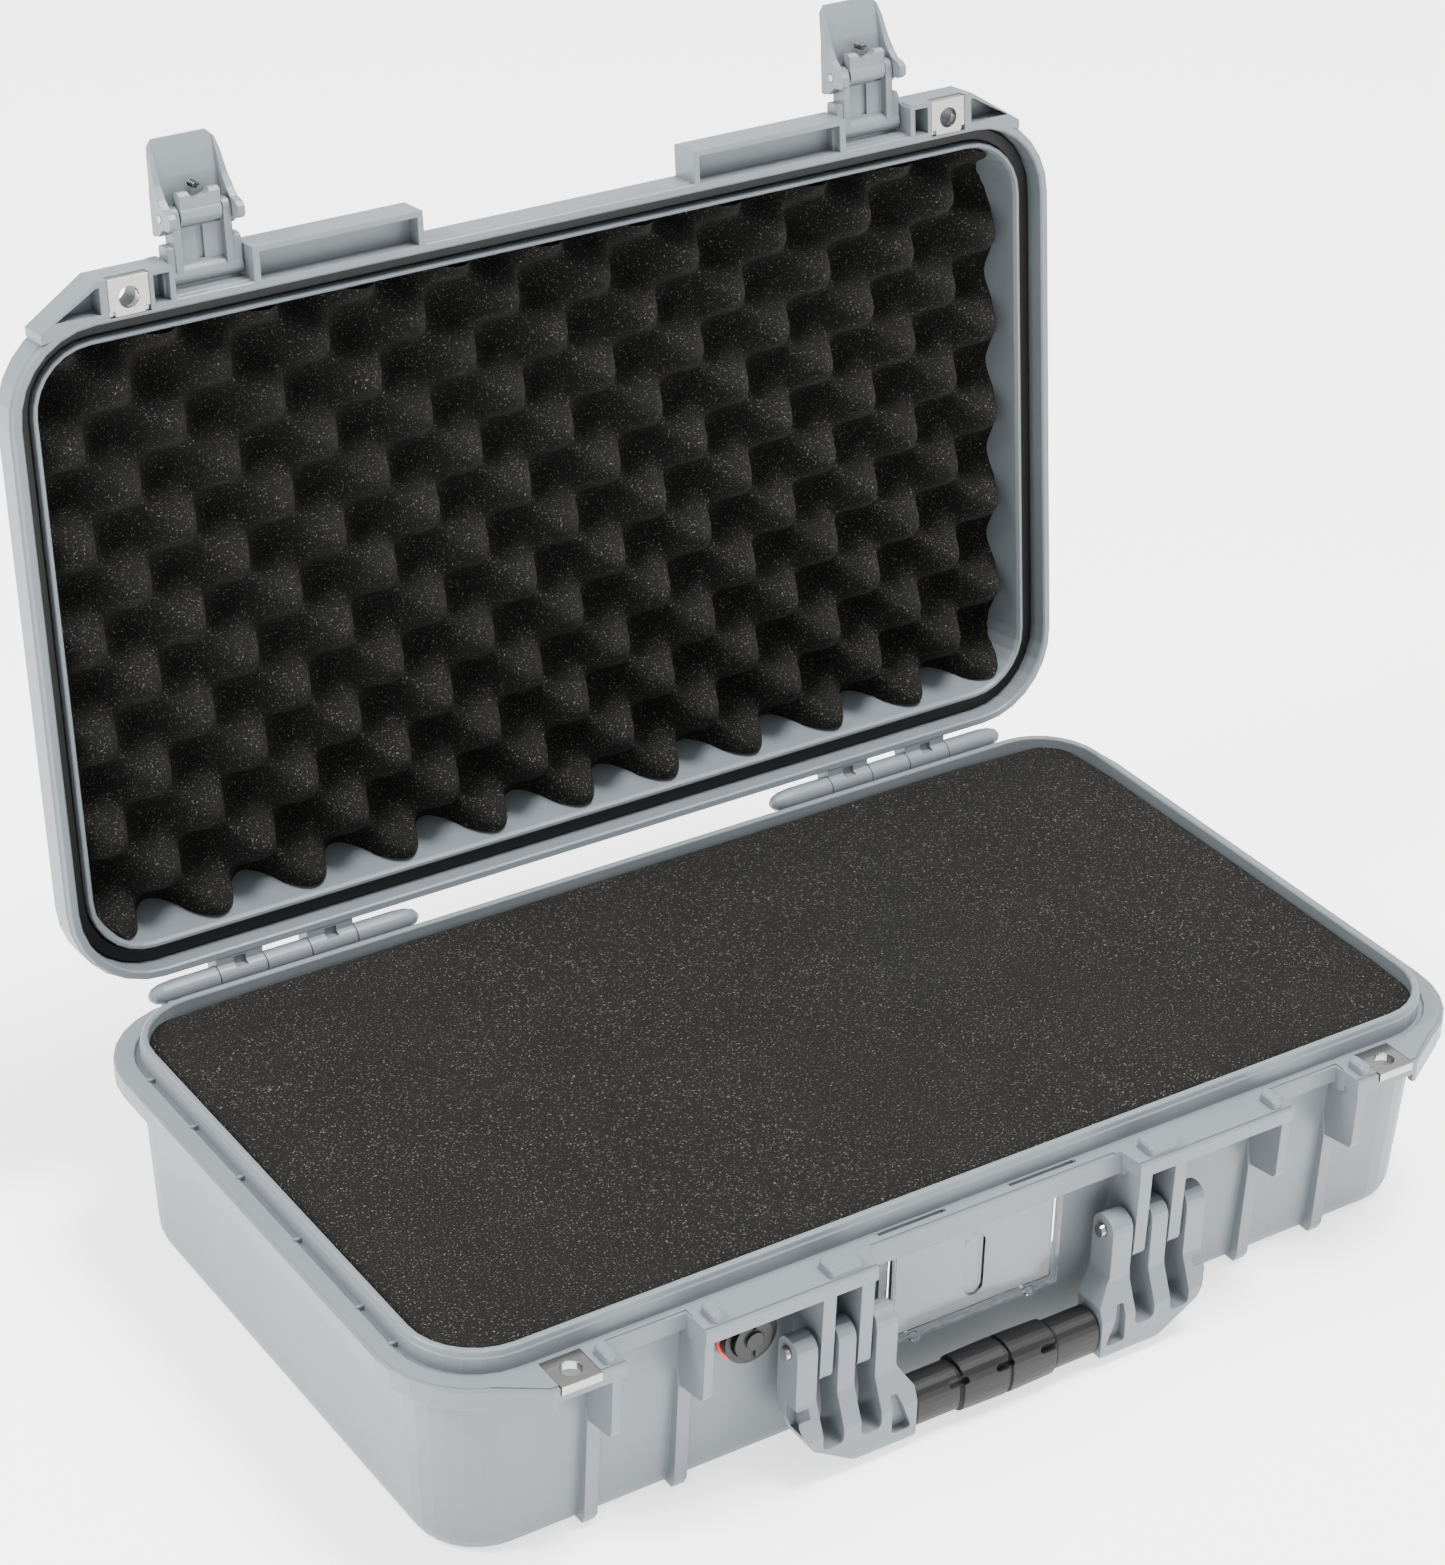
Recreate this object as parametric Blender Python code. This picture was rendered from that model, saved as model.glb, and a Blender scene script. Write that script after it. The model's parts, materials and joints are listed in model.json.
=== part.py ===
"""Hard carry case, lid open. Metres, Z up, X along the length, +Y towards the hinges.

Everything is modelled with the lid shut and the latches hanging; rotated empties then open them.
"""
import math

import bmesh
import bpy
from mathutils import Matrix, Vector

MM = 0.001

# ---- driving dimensions, mm -------------------------------------------------
HALF_X, HALF_Y = 262.5, 146.0      # inner edge of the base's sealing ridge
CORNER_R = 31.0                    # its corner radius
RIDGE_Z, FLANGE_Z = 109.0, 99.5    # ridge top and flange top above the floor
RIM_Z, LID_TOP = 99.8, 153.0       # lid rim and lid top, lid shut
RIM_TALL = 17.0                    # height of the lid's rim
FLANGE_OUT = 16.0                  # flange edge, outwards from the ridge's inner edge
FRONT_Y = -171.5                   # front edge of the widened flange
BAY_Y = -156.0                     # bottom of each latch bay
BAY = (155.6, 193.0)               # latch bay in x, mirrored
CENTRE_Y, CENTRE_X = -159.0, 69.0  # narrow flange between the handle mounts
SKIRT_Z = 88.0                     # underside of the side and corner skirt
CATCH_Z = 90.6                     # underside of the catch that the latches hook
PLATE_X, HOLE_Y, HOLE_R = 215.0, -163.0, 4.9   # padlock plates and their hole
RIB_X = (197.2, 152.8)             # front ribs
STEP_Z = 61.0                      # where each rib narrows
AXIS_Y, AXIS_Z, LID_OPEN = 166.5, 101.0, 96.5  # lid hinge and its open angle
KNUCKLE_R, PIN_R, CLEAR = 5.5, 1.8, 0.3
LID_OUT = 12.5                     # how far the lid's own flange stands out
HINGE_X = 170.5                    # middle of each hinge group
LATCH_X, LATCH_W = 174.3, 36.0     # middle and width of each latch
LINK_Y, LINK_Z, LINK_L = -164.0, 112.0, 26.0   # latch pivot on the lid, and link length
HANDLE_Y, HANDLE_Z = -163.5, 64.5  # handle pivot
GRIP_HALF, GRIP_Y, GRIP_Z = 49.0, -168.0, 16.5
MOUNTS = ((70.5, 77.0), (90.0, 96.5))          # handle mount plates in x
EARS = ((57.5, 68.4), (79.1, 87.9), (98.6, 109.0))
VALVE_X, VALVE_Z = -124.0, 75.0
CARD_X, CARD_Z = -5.0, (38.0, 87.6)


# ---- scene and solids -------------------------------------------------------
for old in list(bpy.data.objects):
    bpy.data.objects.remove(old)


def material(name, colour, rough=0.5, metal=0.0, clear=0.0):
    made = bpy.data.materials.new(name)
    made.use_nodes = True
    shader = made.node_tree.nodes["Principled BSDF"]
    shader.inputs["Base Color"].default_value = (*colour, 1)
    shader.inputs["Roughness"].default_value = rough
    shader.inputs["Metallic"].default_value = metal
    shader.inputs["Transmission Weight"].default_value = clear
    return made


GREY = material("grey_polymer", (0.44, 0.48, 0.50), 0.42)
PALE = material("pale_grey_polymer", (0.50, 0.54, 0.56), 0.4)
STEEL = material("brushed_steel", (0.62, 0.61, 0.59), 0.28, 1.0)
FOAM = material("black_foam", (0.035, 0.034, 0.033), 0.95)
SEAL = material("black_rubber", (0.02, 0.02, 0.021), 0.6)
BLACK = material("black_polymer", (0.03, 0.031, 0.033), 0.45)
RED = material("red_polymer", (0.62, 0.03, 0.03), 0.4)
CLEAR_PLASTIC = material("clear_plastic", (0.95, 0.96, 0.97), 0.05, 0.0, 0.95)
PAPER = material("card_stock", (0.66, 0.68, 0.70), 0.8)


def solid(points, faces):
    """A helper object from points in mm, its faces turned outwards."""
    mesh = bpy.data.meshes.new("solid")
    mesh.from_pydata([Vector(p) * MM for p in points], [], faces)
    work = bmesh.new()
    work.from_mesh(mesh)
    bmesh.ops.recalc_face_normals(work, faces=work.faces)
    if work.calc_volume(signed=True) < 0:
        bmesh.ops.reverse_faces(work, faces=work.faces)
    work.to_mesh(mesh)
    work.free()
    made = bpy.data.objects.new("solid", mesh)
    bpy.context.scene.collection.objects.link(made)
    return made


def loft(loops):
    """A closed body through loops of equal length, capped at both ends."""
    n = len(loops[0])
    points = [p for loop in loops for p in loop]
    faces = [list(range(n)), [len(points) - n + i for i in range(n)]]
    for k in range(len(loops) - 1):
        for i in range(n):
            j = (i + 1) % n
            faces.append([k * n + i, k * n + j, (k + 1) * n + j, (k + 1) * n + i])
    return solid(points, faces)


def prism(axis, outline, low, high):
    """An outline drawn in the two other axes (in x, y, z order), extruded along axis."""
    def place(a, b, h):
        point = [a, b]
        point.insert(axis, h)
        return point
    return loft([[place(a, b, h) for a, b in outline] for h in (low, high)])


def box(x0, x1, y0, y1, z0, z1):
    return prism(2, [(x0, y0), (x1, y0), (x1, y1), (x0, y1)], z0, z1)


def circle(a, b, radius, sides=24, tall=1.0):
    turn = 2 * math.pi / sides
    return [(a + radius * math.cos(i * turn), b + tall * radius * math.sin(i * turn))
            for i in range(sides)]


def rod(y, z, radius, x0, x1, sides=24):
    return prism(0, circle(y, z, radius, sides), x0, x1)


def lathe(y, z, profile, sides=24):
    """A round body about X from (x, radius) pairs."""
    return loft([[(x, a, b) for a, b in circle(y, z, radius, sides)] for x, radius in profile])


def rounded(corners, radius, steps=4):
    """A polygon with its corners rounded; radius is one number or one per corner."""
    points, n = [], len(corners)
    for i, corner in enumerate(corners):
        here = Vector(corner)
        r = radius[i] if isinstance(radius, (list, tuple)) else radius
        if r <= 0:
            points.append(tuple(here))
            continue
        before = (Vector(corners[i - 1]) - here).normalized()
        after = (Vector(corners[(i + 1) % n]) - here).normalized()
        half = before.angle(after) / 2
        start = here + before * r / math.tan(half)
        middle = here + (before + after).normalized() * r / math.sin(half)
        first = start - middle
        sweep = math.pi - 2 * half
        side = 1 if before.x * after.y - before.y * after.x < 0 else -1
        for k in range(steps + 1):
            turn = side * sweep * k / steps
            c, s = math.cos(turn), math.sin(turn)
            points.append((middle.x + c * first.x - s * first.y,
                           middle.y + s * first.x + c * first.y))
    return points


def ring(out, z, steps=7):
    """The rounded rectangle at this distance outside the ridge's inner edge."""
    x, y, r = HALF_X + out, HALF_Y + out, max(CORNER_R + out, 3.0)
    points = []
    for sx, sy, start in ((1, 1, 0), (-1, 1, 90), (-1, -1, 180), (1, -1, 270)):
        for k in range(steps + 1):
            a = math.radians(start + 90 * k / steps)
            points.append((sx * (x - r) + r * math.cos(a), sy * (y - r) + r * math.sin(a), z))
    return points


def combine(body, others, how):
    for other in others:
        step = body.modifiers.new("step", "BOOLEAN")
        step.operation, step.object, step.solver = how, other, "EXACT"
        bpy.context.view_layer.update()
        graph = bpy.context.evaluated_depsgraph_get()
        mesh = bpy.data.meshes.new_from_object(body.evaluated_get(graph))
        body.modifiers.clear()
        body.data = mesh
        bpy.data.objects.remove(other)
    return body


def join(body, *others):
    return combine(body, others, "UNION")


def cut(body, *others):
    return combine(body, others, "DIFFERENCE")


def flipped(points):
    return [(-x, y) for x, y in points]


def named(body, name, look, parent=None, smooth=None):
    """The helper becomes a node: named, given its material and hung on its joint's empty."""
    work = bmesh.new()
    work.from_mesh(body.data)
    bmesh.ops.remove_doubles(work, verts=work.verts, dist=2e-6)
    bmesh.ops.dissolve_degenerate(work, dist=2e-6, edges=work.edges)
    work.to_mesh(body.data)
    work.free()
    body.name = body.data.name = name
    body.data.materials.clear()
    body.data.materials.append(look)
    if smooth is not None:
        body.data.shade_smooth()
        body.data.set_sharp_from_angle(angle=math.radians(smooth))
    if parent:
        body.data.transform(Matrix.Translation(-parent["at"].to_3d()))
        body.parent = parent["empty"]
    return body


def pivot(name, at, inside=None, turn=0.0):
    """An empty on a joint's axis. `at` is where it stands with the lid shut."""
    empty = bpy.data.objects.new(name, None)
    bpy.context.scene.collection.objects.link(empty)
    here = Vector(at) * MM
    if inside:
        empty.parent = inside["empty"]
        empty.location = here - inside["at"]
    else:
        empty.location = here
    empty.rotation_euler = (math.radians(turn), 0, 0)
    return {"empty": empty, "at": here}


LID = pivot("lid_axis", (0, AXIS_Y, AXIS_Z), turn=-LID_OPEN)
HANDLE = pivot("handle_axis", (0, HANDLE_Y, HANDLE_Z))


# ---- base shell -------------------------------------------------------------
def base_shell():
    outside = [(-9.5, 0), (-5.0, 1.0), (-2.2, 3.0), (-0.8, 6.5), (-0.4, 9.0), (4.3, SKIRT_Z)]
    skirt = [(FLANGE_OUT - 1.6, SKIRT_Z), (FLANGE_OUT, SKIRT_Z + 1.6), (FLANGE_OUT, FLANGE_Z - 1.3),
             (FLANGE_OUT - 0.5, FLANGE_Z - 0.8), (FLANGE_OUT - 1.7, FLANGE_Z - 0.8),
             (FLANGE_OUT - 2.0, FLANGE_Z)]
    ridge = [(6.8, FLANGE_Z), (6.0, FLANGE_Z - 1.2), (4.2, FLANGE_Z - 1.2), (3.9, RIDGE_Z - 3.4),
             (3.3, RIDGE_Z - 2.8), (3.1, RIDGE_Z - 0.6), (2.4, RIDGE_Z), (0.6, RIDGE_Z),
             (0.0, RIDGE_Z - 0.8), (0.0, FLANGE_Z - 2)]
    inside = [(-4.4, 11), (-5.6, 6.5), (-10.5, 4.0)]
    body = loft([ring(out, z) for out, z in outside + skirt + ridge + inside])

    # The front flange: a slab under the groove line, and one inside it.
    def front(inset, back):
        e = inset
        side = -140 if back > -150 else -146
        return [(-256 + e, side), (-256 + e, -154.5 + e), (-228, FRONT_Y + e), (228, FRONT_Y + e),
                (256 - e, -154.5 + e), (256 - e, side), (246, back), (-246, back)]
    body = join(body,
                prism(2, front(0, -147.5), 92.0, FLANGE_Z - 1.25),
                prism(2, front(0.02, -152.9), FLANGE_Z - 2, FLANGE_Z - 0.8),
                prism(2, front(1.7, -152.9), FLANGE_Z - 2, FLANGE_Z + 0.001))
    # Skirt under the two diagonals.
    for s in (-1, 1):
        skirt_line = [(256, -146.5), (256, -154.5), (228, FRONT_Y), (226, FRONT_Y), (226, -168.4),
                      (227.5, -168.4), (250, -156), (250, -146.5)]
        line = skirt_line if s > 0 else flipped(skirt_line)
        body = join(body, prism(2, line, SKIRT_Z + 0.01, 94))
    bays = [box(min(s * BAY[0], s * BAY[1]), max(s * BAY[0], s * BAY[1]), -190, BAY_Y, 80, 120)
            for s in (-1, 1)]
    middle = [(-CENTRE_X + 1, CENTRE_Y), (-CENTRE_X - 2.5, -190), (CENTRE_X + 2.5, -190),
              (CENTRE_X - 1, CENTRE_Y)]
    body = cut(body, *bays, prism(2, middle, 80, 120))
    # The catch stops short below, and the shelf beside it is thinner than the skirt.
    body = cut(body, *[box(min(s * BAY[0], s * BAY[1]), max(s * BAY[0], s * BAY[1]),
                           -190, -151.5, 80, CATCH_Z) for s in (-1, 1)])
    body = cut(body, *[prism(2, [(s * 77.5, -190), (s * 150, -190), (s * 150, -151.2), (s * 77.5, -151.2)],
                             80, 92.0) for s in (-1, 1)])
    # Fine line along the recessed edges.
    body = cut(body, box(-CENTRE_X + 4, CENTRE_X - 4, -160, CENTRE_Y + 1.7, FLANGE_Z - 0.8, 104),
               *[box(min(s * a, s * b), max(s * a, s * b), -160, BAY_Y + 1.5, FLANGE_Z - 0.8, 104)
                 for s in (-1, 1) for a, b in ((BAY[0] - 1, BAY[1] + 1),)])

    # Ribs: deep to the step, slim to the foot.
    slim = [(-147.0, STEP_Z + 20), (-151.2, STEP_Z + 1), (-152.2, STEP_Z - 4), (-150.6, 6),
            (-148.6, 2.0), (-141.5, 2.0)]
    deep = rounded([(-147.0, 98.2), (FRONT_Y + 1.2, 98.2), (FRONT_Y + 2.2, STEP_Z), (-145.2, STEP_Z - 4)],
                   [0, 0, 3.0, 0])
    for s in (-1, 1):
        for x in RIB_X:
            body = join(body, prism(0, deep, s * x - 2.2, s * x + 2.2),
                        prism(0, slim, s * x - 3.2, s * x + 3.2))
        for x0, x1 in MOUNTS:
            plate = rounded([(-146.5, 98.1), (FRONT_Y + 0.8, 98.1), (FRONT_Y + 1.8, 47.0), (-160, 47.0),
                             (-145.6, 60.0)], [0, 0, 4.5, 4.0, 0])
            body = join(body, prism(0, plate, min(s * x0, s * x1), max(s * x0, s * x1)))
        body = cut(body, rod(HANDLE_Y, HANDLE_Z, 2.5, min(s * 66, s * 100), max(s * 66, s * 100)))
        # Pads that nest in the lid, the small ones over the ribs.
        for x, w in ((84.3, 16.0), (148.0, 5.2), (199.4, 5.2)):
            foot = rounded([(s * x - w / 2, -169.4), (s * x + w / 2, -169.4), (s * x + w / 2, -158.6),
                            (s * x - w / 2, -158.6)], 1.6, 3)
            top = rounded([(s * x - w / 2 + 0.8, -168.6), (s * x + w / 2 - 0.8, -168.6),
                           (s * x + w / 2 - 0.8, -159.4), (s * x - w / 2 + 0.8, -159.4)], 1.2, 3)
            body = join(body, loft([[(a, b, FLANGE_Z - 1) for a, b in foot],
                                    [(a, b, FLANGE_Z + 3.4) for a, b in foot],
                                    [(a, b, FLANGE_Z + 4.4) for a, b in top]]))
    # Seat for the card holder and the boss behind the valve.
    body = join(body, box(CARD_X - 49, CARD_X + 49, -151.0, -147.0, 33, 98))
    body = join(body, prism(1, circle(VALVE_X, VALVE_Z, 14.5, 32), -151.6, -146.6))
    # Card holder clip slots, padlock plate seats and holes.
    body = cut(body, box(-58, -22.8, -154.6, -151.2, FLANGE_Z - 3, 104),
               box(11, 46.8, -154.6, -151.2, FLANGE_Z - 3, 104))
    for s in (-1, 1):
        x0, x1 = sorted((s * (PLATE_X - 9.8), s * (PLATE_X + 9.8)))
        body = cut(body, box(x0, x1, -180, -153.6, FLANGE_Z - 4.4, 104),
                   prism(2, circle(s * PLATE_X, HOLE_Y, HOLE_R + 1.1), 80, 104))
    # Nubs in the gutter along both ends.
    for s in (-1, 1):
        for y in (-112, -84, -30, 22, 66, 108):
            x0, x1 = sorted((s * (HALF_X + 3.2), s * (HALF_X + 7.4)))
            body = join(body, box(x0, x1, y - 0.9, y + 0.9, FLANGE_Z - 2, FLANGE_Z + 0.9))
    # Hinge: web and barrels, then room for the lid's barrels.
    for s in (-1, 1):
        for x0, x1, dome in ((-70, -36, -1), (-11.3, 11.3, 0), (36, 70, 1)):
            a, b = sorted((s * HINGE_X + x0, s * HINGE_X + x1))
            end = dome
            web = rounded([(151.2, SKIRT_Z - 7), (AXIS_Y - 1, SKIRT_Z - 2), (AXIS_Y + KNUCKLE_R, AXIS_Z - 2),
                           (AXIS_Y + KNUCKLE_R, AXIS_Z), (151.2, FLANGE_Z - 1.6)], [0, 3, 0, 0, 0])
            if end == 0:
                barrel = rod(AXIS_Y, AXIS_Z, KNUCKLE_R, a, b)
                body = join(body, prism(0, web, a, b), barrel)
                continue
            inner, outer = (b, a) if end < 0 else (a, b)
            way = 1 if outer > inner else -1
            profile = [(inner, KNUCKLE_R), (outer - way * 12, KNUCKLE_R), (outer - way * 6, KNUCKLE_R * 0.9),
                       (outer - way * 2, KNUCKLE_R * 0.66), (outer, KNUCKLE_R * 0.3)]
            body = join(body, prism(0, web, *sorted((inner, outer - way * 7))),
                        lathe(AXIS_Y, AXIS_Z, profile))
        for x in (-23.65, 23.65):
            a = s * HINGE_X + x
            body = cut(body, rod(AXIS_Y, AXIS_Z, KNUCKLE_R + 1.0, a - 12.35, a + 12.35),
                       box(a - 12.35, a + 12.35, AXIS_Y - 5.5, AXIS_Y + 12, SKIRT_Z - 12, AXIS_Z))
        body = cut(body, rod(AXIS_Y, AXIS_Z, PIN_R + CLEAR, s * HINGE_X - 58, s * HINGE_X + 58))
    # Valve bore, blind from outside.
    body = cut(body, prism(1, circle(VALVE_X, VALVE_Z, 6.4, 24), -156, -148.6))
    return named(body, "base_shell", GREY, smooth=32)


base_shell()


# ---- base fittings ----------------------------------------------------------
def padlock_plate(s, back, z_low, z_high):
    body = box(*sorted((s * (PLATE_X - 9.5), s * (PLATE_X + 9.5))), FRONT_Y - 0.6, back, z_low, z_high)
    body = cut(body, prism(2, circle(s * PLATE_X, HOLE_Y, HOLE_R), z_low - 5, z_high + 5))
    # Two small square notches at its inner corners.
    for t in (-1, 1):
        body = cut(body, box(*sorted((s * PLATE_X + t * 7.0, s * PLATE_X + t * 12.0)), back - 2.6, back + 2,
                             z_low - 1, z_low + 1.5 if z_low > FLANGE_Z else z_low - 0.5))
    return body


SIDES = ((-1, "left"), (1, "right"))
for s, side in SIDES:
    named(padlock_plate(s, -153.9, FLANGE_Z - 4.1, FLANGE_Z - 0.1), f"base_plate_{side}", STEEL, smooth=30)
    pin = lathe(HANDLE_Y, HANDLE_Z, [(s * 54.9, 2.9), (s * 56.9, 3.3), (s * 57.1, 3.3), (s * 57.1, 2.2),
                                     (s * 109.4, 2.2), (s * 109.4, 3.3), (s * 109.6, 3.3), (s * 111.3, 2.9)])
    named(pin, f"handle_pin_{side}", STEEL, smooth=30)
    pin = rod(AXIS_Y, AXIS_Z, PIN_R, s * HINGE_X - 57.5, s * HINGE_X + 57.5)
    named(pin, f"hinge_pin_{side}", STEEL, smooth=30)

FACE = -151.9
valve = join(prism(1, circle(VALVE_X, VALVE_Z, 14.2, 36), FACE - 1.6, FACE),)
named(cut(valve, prism(1, circle(VALVE_X, VALVE_Z, 6.4, 24), -170, -140)), "valve_seal_ring", RED, smooth=30)
valve = join(prism(1, circle(VALVE_X, VALVE_Z, 13.0, 36), FACE - 6.0, FACE - 1.9),
             prism(1, circle(VALVE_X, VALVE_Z, 6.0, 24), FACE - 3.0, FACE + 2.2))
named(cut(valve, prism(1, circle(VALVE_X, VALVE_Z, 9.9, 32), -170, FACE - 4.0)), "valve_body", BLACK, smooth=30)
valve = prism(1, circle(VALVE_X, VALVE_Z, 9.5, 32), FACE - 8.4, FACE - 4.3)
valve = cut(valve, box(VALVE_X - 0.8, VALVE_X + 0.8, -170, FACE - 7.2, VALVE_Z - 12, VALVE_Z - 5.5),
            box(VALVE_X - 0.8, VALVE_X + 0.8, -170, FACE - 7.2, VALVE_Z + 5.5, VALVE_Z + 12))
named(join(valve, prism(1, circle(VALVE_X, VALVE_Z, 4.4, 24), FACE - 9.6, FACE - 8.0)),
      "valve_cap", BLACK, smooth=30)

card = (CARD_X - 42.5, CARD_X + 42.5)
named(box(*card, -151.9, -151.3, CARD_Z[0] + 2.6, CARD_Z[1] - 1), "card_insert", PAPER)
window = box(CARD_X - 45.5, CARD_X + 45.5, -153.9, -152.2, CARD_Z[0], CARD_Z[1])
window = join(window, box(CARD_X - 45.5, CARD_X - 43.2, -155.2, -151.35, CARD_Z[0], CARD_Z[1] - 0.01),
              box(CARD_X + 43.2, CARD_X + 45.5, -155.2, -151.35, CARD_Z[0], CARD_Z[1] - 0.01),
              box(CARD_X - 45.49, CARD_X + 45.49, -155.19, -151.36, CARD_Z[0] - 0.01, CARD_Z[0] + 2.2),
              box(CARD_X - 33, CARD_X - 29, -156.0, -151.6, CARD_Z[0] - 2.2, CARD_Z[0] + 1.5),
              box(CARD_X + 29, CARD_X + 33, -156.0, -151.6, CARD_Z[0] - 2.2, CARD_Z[0] + 1.5))
slot = [(CARD_X + 5.2 * math.cos(a), (11 if math.sin(a) > 0 else -11) + 63.5 + 5.2 * math.sin(a))
        for a in [math.radians(15 + 30 * k) for k in range(12)]]
named(cut(window, prism(1, slot, -160, -140)), "card_window", CLEAR_PLASTIC)


# ---- foam in the base -------------------------------------------------------
def foam_slab(name, out_low, out_high, z_low, z_high, look=FOAM, soft=0.0, parent=None):
    loops = [ring(out_low, z_low, 5), ring(out_high, z_high - soft, 5)]
    if soft:
        loops += [ring(out_high - 1.2, z_high - soft * 0.35, 5), ring(out_high - 3.2, z_high, 5)]
    return named(loft(loops), name, look, parent, smooth=40)


foam_slab("foam_floor_pad", -11.2, -5.6, 4.4, 14.6)
foam_slab("foam_pick_block", -5.0, -2.6, 15.0, 84.0)
foam_slab("foam_top_pad", -2.3, -1.0, 84.4, 106.0, soft=2.4)


# ---- lid --------------------------------------------------------------------
def lid_shell():
    outside = [(-13.5, LID_TOP), (-9.0, LID_TOP - 1.2), (-6.4, LID_TOP - 4.0), (-5.2, LID_TOP - 8.0),
               (2.9, RIM_Z + RIM_TALL)]
    rim = [(LID_OUT - 1.4, RIM_Z + RIM_TALL), (LID_OUT, RIM_Z + RIM_TALL - 1.4), (LID_OUT, RIM_Z + 3.2),
           (LID_OUT - 0.9, RIM_Z + 2.6), (LID_OUT - 0.9, RIM_Z + 0.6), (LID_OUT - 1.5, RIM_Z),
           (8.2, RIM_Z), (7.4, RIM_Z + 0.8)]
    channel = [(7.4, RIDGE_Z + 5.4), (-0.5, RIDGE_Z + 5.4), (-0.5, RIDGE_Z - 1.6), (-1.0, RIDGE_Z - 2.2),
               (-2.4, RIDGE_Z - 2.2), (-3.4, RIDGE_Z - 0.4)]
    inside = [(-4.6, RIDGE_Z + 8), (-9.8, LID_TOP - 9), (-12.0, LID_TOP - 5.2), (-16.5, LID_TOP - 3.8)]
    body = loft([ring(out, z) for out, z in outside + rim + channel + inside])

    low, high = RIM_Z + 0.002, RIM_Z + RIM_TALL - 0.1
    for s in (-1, 1):
        # Tab over the padlock plate with its diagonal, then the long shallow tray.
        corner = [(193.05, -154.6), (193.05, FRONT_Y + 0.6), (194, FRONT_Y - 1.0), (229, FRONT_Y - 1.0),
                  (257, -154.4), (257, -150), (240, -154.6)]
        tray = [(71.2, -154.6), (71.2, FRONT_Y - 1.5), (155.6, FRONT_Y - 1.5), (155.6, -154.6)]
        for outline in (corner, tray):
            outline = outline if s > 0 else flipped(outline)
            body = join(body, prism(2, outline, low, high))
        x0, x1 = sorted((s * BAY[0], s * BAY[1]))
        body = cut(body, box(x0, x1, -190, -HALF_Y - LID_OUT + 0.1, 90, 125))
        pocket = [(228.5, -157.6), (228.5, FRONT_Y + 1.9), (230, FRONT_Y + 1.9), (250, -158.2)]
        pocket = pocket if s > 0 else flipped(pocket)
        x0, x1 = sorted((s * 74.0, s * 152.4))
        tray_pocket = [(x0 + 0.0, -157.5), (x1, -157.5), (x1, FRONT_Y + 1.2), (x0, FRONT_Y + 1.2)]
        x2, x3 = sorted((s * 195.6, s * 203.2))
        body = cut(body, prism(2, pocket, 90, RIM_Z + 10), prism(2, tray_pocket, 90, RIM_Z + 9),
                   box(x2, x3, FRONT_Y + 1.4, -157.5, 90, RIM_Z + 10))
        # Ears that carry the latch, either side of its bay.
        for a, b in ((BAY[0] - 4.6, BAY[0] + 0.01), (BAY[1] - 0.01, BAY[1] + 3.6)):
            ear = rounded([(-154.2, 104), (-172.6, 104), (-172.6, 124), (-154.2, 124)], [0, 7.0, 7.6, 3], 6)
            x4, x5 = sorted((s * a, s * b))
            body = join(body, prism(0, ear, x4, x5))
        x6, x7 = sorted((s * (BAY[0] - 3.4), s * (BAY[1] + 2.4)))
        body = cut(body, rod(LINK_Y, LINK_Z, PIN_R + CLEAR, x6, x7))
        # Seat and hole for the plate.
        x8, x9 = sorted((s * (PLATE_X - 9.8), s * (PLATE_X + 9.8)))
        body = cut(body, box(x8, x9, -190, -155.0, 90, RIM_Z + 4.4),
                   prism(2, circle(s * PLATE_X, HOLE_Y, HOLE_R + 1.1), 80, 130))
    # Hinge barrels, their arms, and room for the base's barrels.
    for s in (-1, 1):
        for x0, x1 in ((-71, -35.6), (-11.9, 11.9), (35.6, 71)):
            body = cut(body, rod(AXIS_Y, AXIS_Z, KNUCKLE_R + 0.7, s * HINGE_X + x0, s * HINGE_X + x1))
        for x in (-23.65, 23.65):
            a = s * HINGE_X + x
            arm = [(156.6, RIM_Z + 0.3), (AXIS_Y - 5.0, RIM_Z + 0.3), (AXIS_Y - 2, AXIS_Z), (AXIS_Y + 3, AXIS_Z),
                   (AXIS_Y + 4.6, AXIS_Z + 3), (AXIS_Y - 1, RIM_Z + 10), (156.6, RIM_Z + 12)]
            body = join(body, prism(0, arm, a - 11.9, a + 11.9),
                        rod(AXIS_Y, AXIS_Z, KNUCKLE_R, a - 11.89, a + 11.89))
            body = cut(body, box(a - 9.2, a + 9.2, AXIS_Y - 1.5, AXIS_Y + 12, RIM_Z + 5.4, RIM_Z + 10.4),
                       box(a - 3, a + 3, AXIS_Y - 8, AXIS_Y - 3.6, RIM_Z - 2.5, RIM_Z + 1.8))
        body = cut(body, rod(AXIS_Y, AXIS_Z, PIN_R + CLEAR, s * HINGE_X - 58, s * HINGE_X + 58))
    return named(body, "lid_shell", GREY, LID, smooth=32)


lid_shell()

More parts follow.
